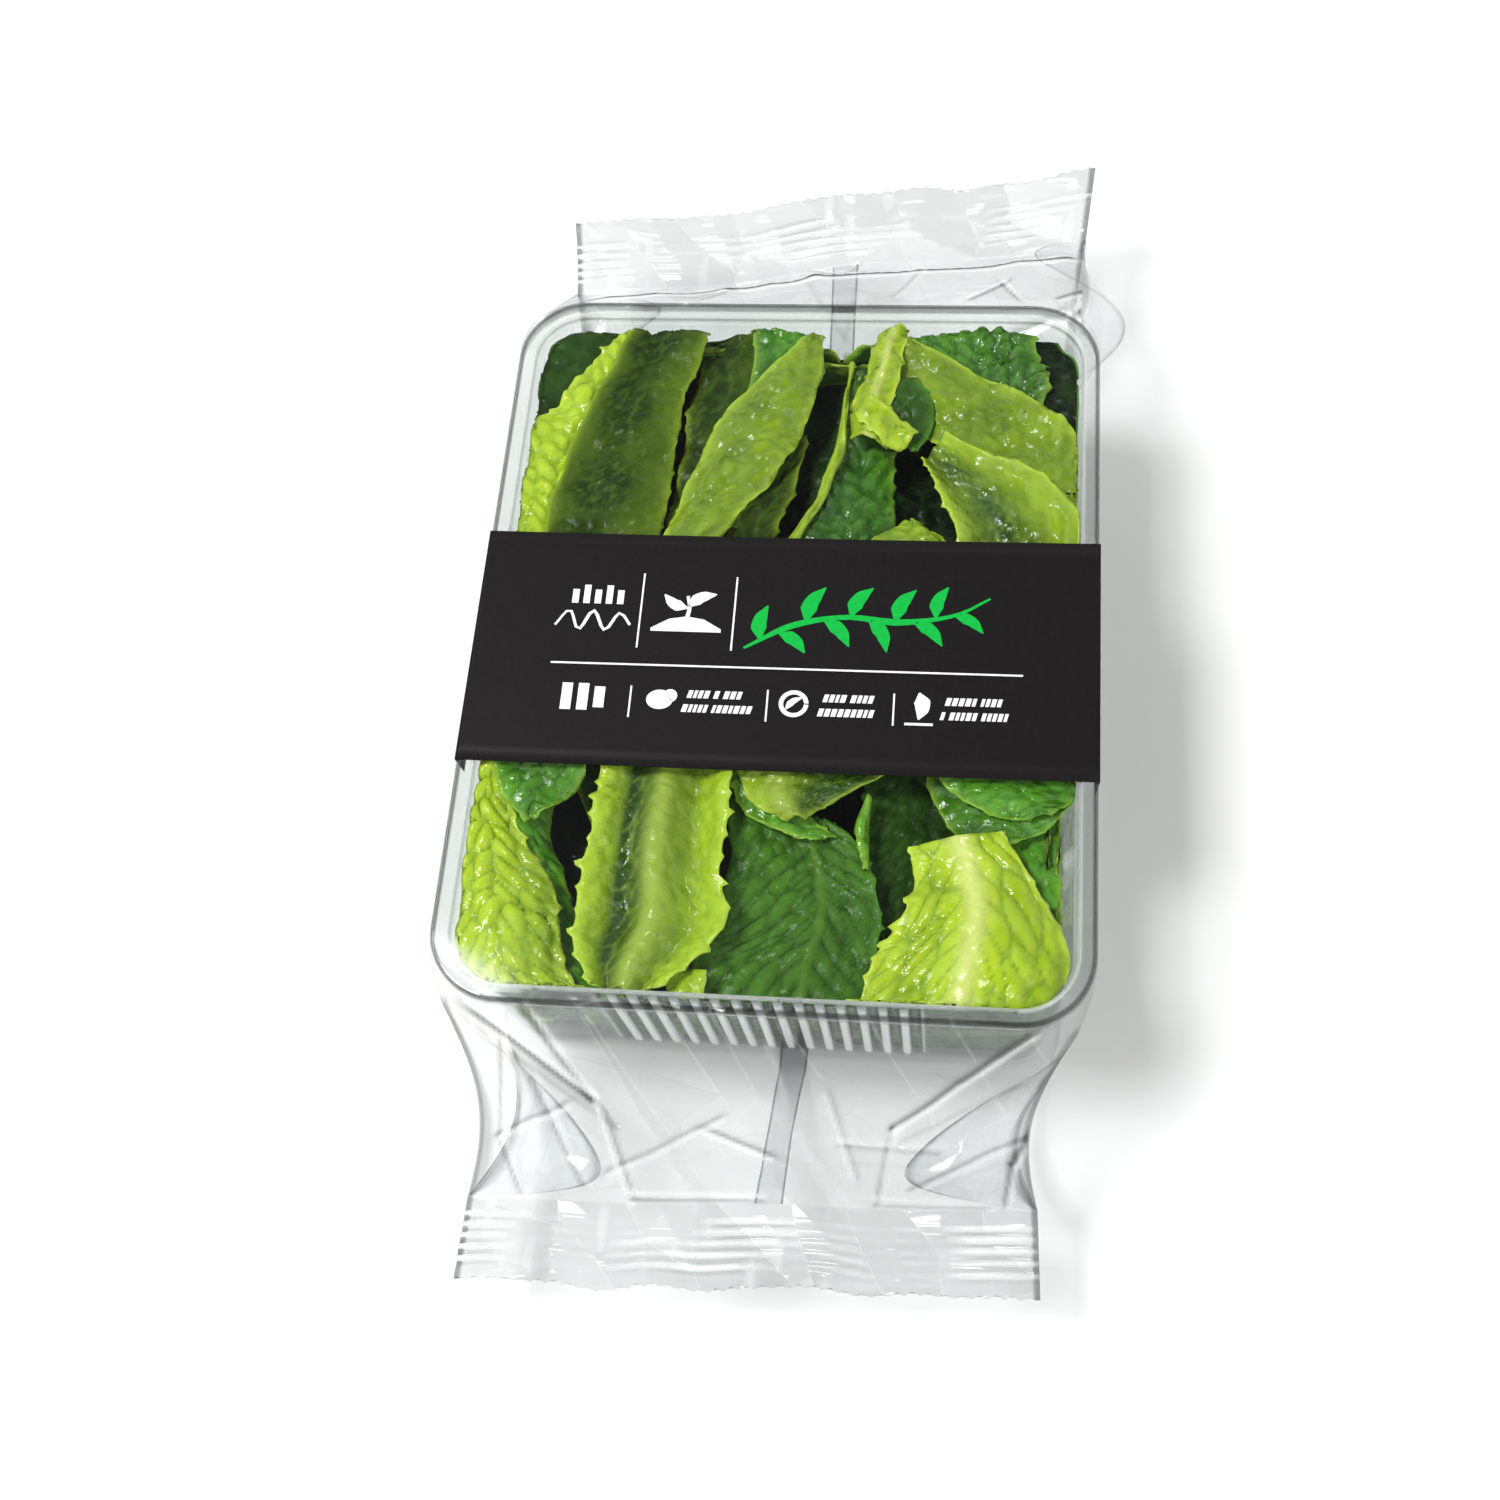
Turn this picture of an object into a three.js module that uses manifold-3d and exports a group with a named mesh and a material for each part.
// A sealed clear pack of salad leaves: a tray of leaves wrapped in a tube of film.
// The film lies tight over the tray's rim, runs down past each end of the tray with
// its sides tucked in, and is pressed flat in a ribbed crimp with a saw-cut edge.
// This is the pack's outer form as one closed solid.
// Millimetres, +Z up, origin at the centre of the flat underside, head end towards +Y.

import * as THREE from "three";
import { mergeVertices } from "three/addons/utils/BufferGeometryUtils.js";
import Module from "manifold-3d";

// ---------------------------------------------------------------- driving dimensions

const rimWidth = 140;
const rimLength = 180;
const packHeight = 56;
const wallDraft = 4; // how much further in the base edge is than the rim, all round
const cornerRadius = 16; // of the rim, seen from above
const cornerPull = 4; // how far the tight film cuts in across a rim corner
const shoulderDrop = 5; // how far the film sinks where no rim carries it

const pleatDepth = 1.1; // of the shallow folds that fan out between tray and crimp
const seamThickness = 0.6; // where the two sheets meet, inside the crimp
const seamOverlap = 2; // how far body and crimp run into each other
const seamInset = 1; // how much narrower the body is than its crimp, each side
const tuckSharpness = 6; // the higher, the closer to the crimp the tucked sides close

const crimpThickness = 1.2;
const ribCount = 5;
const ribPitch = 2.4;
const ribHeight = 0.5;
const ribStart = 3; // from the inner edge of the crimp to its first rib
const toothPitch = 6;
const toothDepth = 1.2;
const waveHeight = 1.5;

const weldDistance = 0.01; // vertices closer than this are one
const sliverSize = 0.05; // faces thinner than this are smoothed away

const head = {
  away: 1, // the way this end points along Y
  reach: 33, // from the rim to the crimp, on the centre line
  skew: 0.1, // how far the crimp strays along Y for each millimetre across
  crimpHeight: 27,
  lean: 0.05, // how far the crimp rises for each millimetre across
  crimpHalfWidth: 67,
  crimpShift: 1, // of the crimp's middle, across the pack
  tuck: 30, // how deep each side is folded in at the crimp
  neck: 0,
  ear: 26, // how far an untucked corner of film stands out, on the right
  flapDepth: 20,
  flare: 2, // how much wider the flap is at its cut edge, each side
  curl: 5, // how far the flap's cut edge rises above its inner edge
};

const foot = {
  away: -1,
  reach: 32,
  skew: 0.035,
  crimpHeight: 22,
  lean: 0,
  crimpHalfWidth: 61,
  crimpShift: -1,
  tuck: 34,
  neck: 5,
  ear: 0,
  flapDepth: 18,
  flare: 1,
  curl: -2,
};

// ---------------------------------------------------------------- the film's cross-section

// The tube of film is a loop of points: up the right side, across the top, down the
// left side and back across the bottom.
const acrossSteps = 14;
const sideSteps = 6;
const loopSteps = 2 * (acrossSteps + sideSteps);

const { lerp, smoothstep } = THREE.MathUtils;

// Where a point of the loop is: across from -1 to 1, and up from 0 to 1.
function placeInLoop(index) {
  if (index < sideSteps) {
    return { across: 1, up: index / sideSteps };
  }
  if (index < sideSteps + acrossSteps) {
    return { across: 1 - (2 * (index - sideSteps)) / acrossSteps, up: 1 };
  }
  if (index < 2 * sideSteps + acrossSteps) {
    return { across: -1, up: 1 - (index - sideSteps - acrossSteps) / sideSteps };
  }
  return { across: -1 + (2 * (index - 2 * sideSteps - acrossSteps)) / acrossSteps, up: 0 };
}

// How far a side point is from the top and bottom edges: 0 at both, 1 halfway up.
const betweenEdges = (up) => 1 - Math.abs(2 * up - 1);

// A point of the film round the tray, at a distance along from the middle.
function pointRoundTray({ across, up }, along) {
  const cornerStart = rimLength / 2 - cornerRadius;
  const pastCorner = Math.max(0, (Math.abs(along) - cornerStart) / cornerRadius);
  const halfWidth = rimWidth / 2 - wallDraft * (1 - up) - cornerPull * pastCorner ** 2;
  const drop = shoulderDrop * pastCorner ** 2 * Math.abs(across) ** 8 * up;
  const shortening = 1 - (wallDraft * (1 - up)) / (rimLength / 2);
  return new THREE.Vector3(halfWidth * across, along * shortening, packHeight * up - drop);
}

// The crimps aren't straight but wave a little across the pack.
const crimpWave = (across) => waveHeight * Math.sin(2 * Math.PI * across + 1);

// A point on the middle line of a crimp.
function pointOnCrimp(end, across) {
  const x = end.crimpShift + end.crimpHalfWidth * across;
  const y = end.away * (rimLength / 2 + end.reach) + end.skew * x;
  return new THREE.Vector3(x, y, end.crimpHeight + end.lean * x + crimpWave(across));
}

// The point inside the crimp that a point of the loop is drawn to. The sides are a
// little round there.
function pointAtSeam(end, { across, up }) {
  const roundness = seamThickness * up * (1 - up);
  const seam = pointOnCrimp(end, across);
  seam.x -= (seamInset - roundness) * across;
  seam.z += seamThickness * (up - 0.5);
  return seam;
}

// How much of the tuck there is on the way from the tray, 0, to the crimp, 1.
const tuckAlong = (reached) => reached * (1 - reached ** tuckSharpness);

// A point of the film past the tray's end: towards runs from 0 at the tray to 1 at the
// crimp, and a little further inside the crimp.
function pointBeyondTray(end, place, index, towards) {
  const start = pointRoundTray(place, (end.away * rimLength) / 2);
  const reached = Math.min(towards, 1);
  const point = start.lerp(pointAtSeam(end, place), reached);
  point.y += end.away * end.reach * (towards - reached);
  const belly = Math.sin(Math.PI * reached);
  const onSheet = place.up === 1 || place.up === 0;
  if (onSheet && Math.abs(place.across) < 1) {
    const side = place.up === 1 ? 1 : -1;
    point.z += side * pleatDepth * belly * (index % 2 === 0 ? 1 : -1);
  }
  point.x -= end.neck * belly * place.across;
  if (Math.abs(place.across) === 1) {
    const folded = end.tuck * tuckAlong(reached) * betweenEdges(place.up);
    point.x -= folded * place.across;
  }
  if (place.across === 1) {
    point.x += end.ear * belly * betweenEdges(place.up);
  }
  return point;
}

// ---------------------------------------------------------------- solids

const wasm = await Module();
wasm.setup();

function toSolid(geometry) {
  geometry.deleteAttribute("normal");
  geometry.deleteAttribute("uv");
  const closed = mergeVertices(geometry, weldDistance);
  return new wasm.Manifold(
    new wasm.Mesh({
      numProp: 3,
      vertProperties: new Float32Array(closed.attributes.position.array),
      triVerts: new Uint32Array(closed.index.array),
    }),
  );
}

function toGeometry(solid) {
  const { vertProperties, triVerts } = solid.getMesh();
  const geometry = new THREE.BufferGeometry();
  geometry.setAttribute("position", new THREE.BufferAttribute(vertProperties, 3));
  geometry.setIndex(new THREE.BufferAttribute(triVerts, 1));
  geometry.computeVertexNormals();
  return geometry;
}

// Moves each vertex of a geometry to where the function puts it.
function moveVertices(geometry, placeOf) {
  const position = geometry.attributes.position;
  const vertex = new THREE.Vector3();
  for (let i = 0; i < position.count; i += 1) {
    const moved = placeOf(vertex.fromBufferAttribute(position, i));
    position.setXYZ(i, moved.x, moved.y, moved.z);
  }
  return geometry;
}

// The stations at which the tube's section is worked out, from the head to the foot.
function tubeStations() {
  const runSteps = 8;
  const cornerSteps = 4;
  const stations = [];
  for (let i = 0; i <= runSteps; i += 1) {
    const inCrimp = 1 + (0.5 * seamOverlap) / head.reach;
    stations.push({ end: head, towards: lerp(inCrimp, 0, i / runSteps) });
  }
  for (let i = 1; i <= cornerSteps; i += 1) {
    stations.push({ along: rimLength / 2 - (cornerRadius * i) / cornerSteps });
  }
  for (let i = cornerSteps; i >= 1; i -= 1) {
    stations.push({ along: -rimLength / 2 + (cornerRadius * i) / cornerSteps });
  }
  for (let i = 0; i <= runSteps; i += 1) {
    const inCrimp = 1 + (0.5 * seamOverlap) / foot.reach;
    stations.push({ end: foot, towards: lerp(0, inCrimp, i / runSteps) });
  }
  return stations;
}

// The body: the thin section at the foot's seam, drawn into a bar with a step for each
// station, whose sections are then moved to the film's own.
function wrappedBody() {
  const stations = tubeStations();
  const seamOutline = [];
  for (let index = 0; index < loopSteps; index += 1) {
    const { x, z } = pointAtSeam(foot, placeInLoop(index));
    seamOutline.push(new THREE.Vector2(x, z));
  }
  const lastStation = stations.length - 1;
  const bar = new THREE.ExtrudeGeometry(new THREE.Shape(seamOutline), {
    depth: lastStation,
    steps: lastStation,
    bevelEnabled: false,
  });
  return moveVertices(bar, (vertex) => {
    const distances = seamOutline.map(({ x, y }) => Math.hypot(x - vertex.x, y - vertex.y));
    const index = distances.indexOf(Math.min(...distances));
    const place = placeInLoop(index);
    const { end, towards, along } = stations[Math.round(vertex.z)];
    if (end === undefined) {
      return pointRoundTray(place, along);
    }
    return pointBeyondTray(end, place, index, towards);
  });
}

// The outline of a crimp cut lengthways: a flat strip with ribs on both faces.
function ribbedOutline(depth) {
  const half = crimpThickness / 2;
  const upperFace = [[-seamOverlap, half]];
  for (let i = 0; i < ribCount; i += 1) {
    const valley = ribStart + i * ribPitch;
    upperFace.push([valley, half], [valley + ribPitch / 2, half + ribHeight]);
  }
  upperFace.push([ribStart + ribCount * ribPitch, half], [depth, half]);
  const lowerFace = upperFace.map(([along, height]) => [along, -height]).reverse();
  const outline = new THREE.Shape();
  [...upperFace, ...lowerFace].forEach(([along, height], i) => {
    outline[i === 0 ? "moveTo" : "lineTo"](along, height);
  });
  return outline;
}

// A crimp: the ribbed strip drawn across the pack, waved and curled, with cut teeth.
function crimp(end) {
  const teeth = Math.round((2 * end.crimpHalfWidth) / toothPitch);
  const steps = 2 * teeth;
  const strip = new THREE.ExtrudeGeometry(ribbedOutline(end.flapDepth), {
    depth: steps,
    steps,
    bevelEnabled: false,
  });
  return moveVertices(strip, (vertex) => {
    const across = end.away * lerp(-1, 1, vertex.z / steps);
    const outward = vertex.x / end.flapDepth;
    const point = pointOnCrimp(end, across);
    const tooth = outward === 1 && Math.round(vertex.z) % 2 === 1 ? toothDepth : 0;
    point.x += end.flare * across * Math.max(outward, 0);
    point.y += end.away * (vertex.x - tooth);
    point.z += vertex.y + end.curl * smoothstep(outward, 0, 1) ** 2;
    return point;
  });
}

const joined = [head, foot]
  .map((end) => toSolid(crimp(end)))
  .reduce((whole, flap) => whole.add(flap), toSolid(wrappedBody()));

// Where a tucked side meets its crimp the join leaves slivers and tiny pockets. They are
// smoothed out and welded shut, and only the outer shell is kept.
const welded = toSolid(toGeometry(joined.simplify(sliverSize)));
const [bagSolid] = welded.decompose().sort((a, b) => b.volume() - a.volume());

// ---------------------------------------------------------------- scene

const clearFilm = new THREE.MeshStandardMaterial({
  color: 0xdfe4e2,
  roughness: 0.15,
  metalness: 0,
});

const bag = new THREE.Mesh(toGeometry(bagSolid), clearFilm);
bag.name = "bag";

const group = new THREE.Group();
group.add(bag);

export default group;
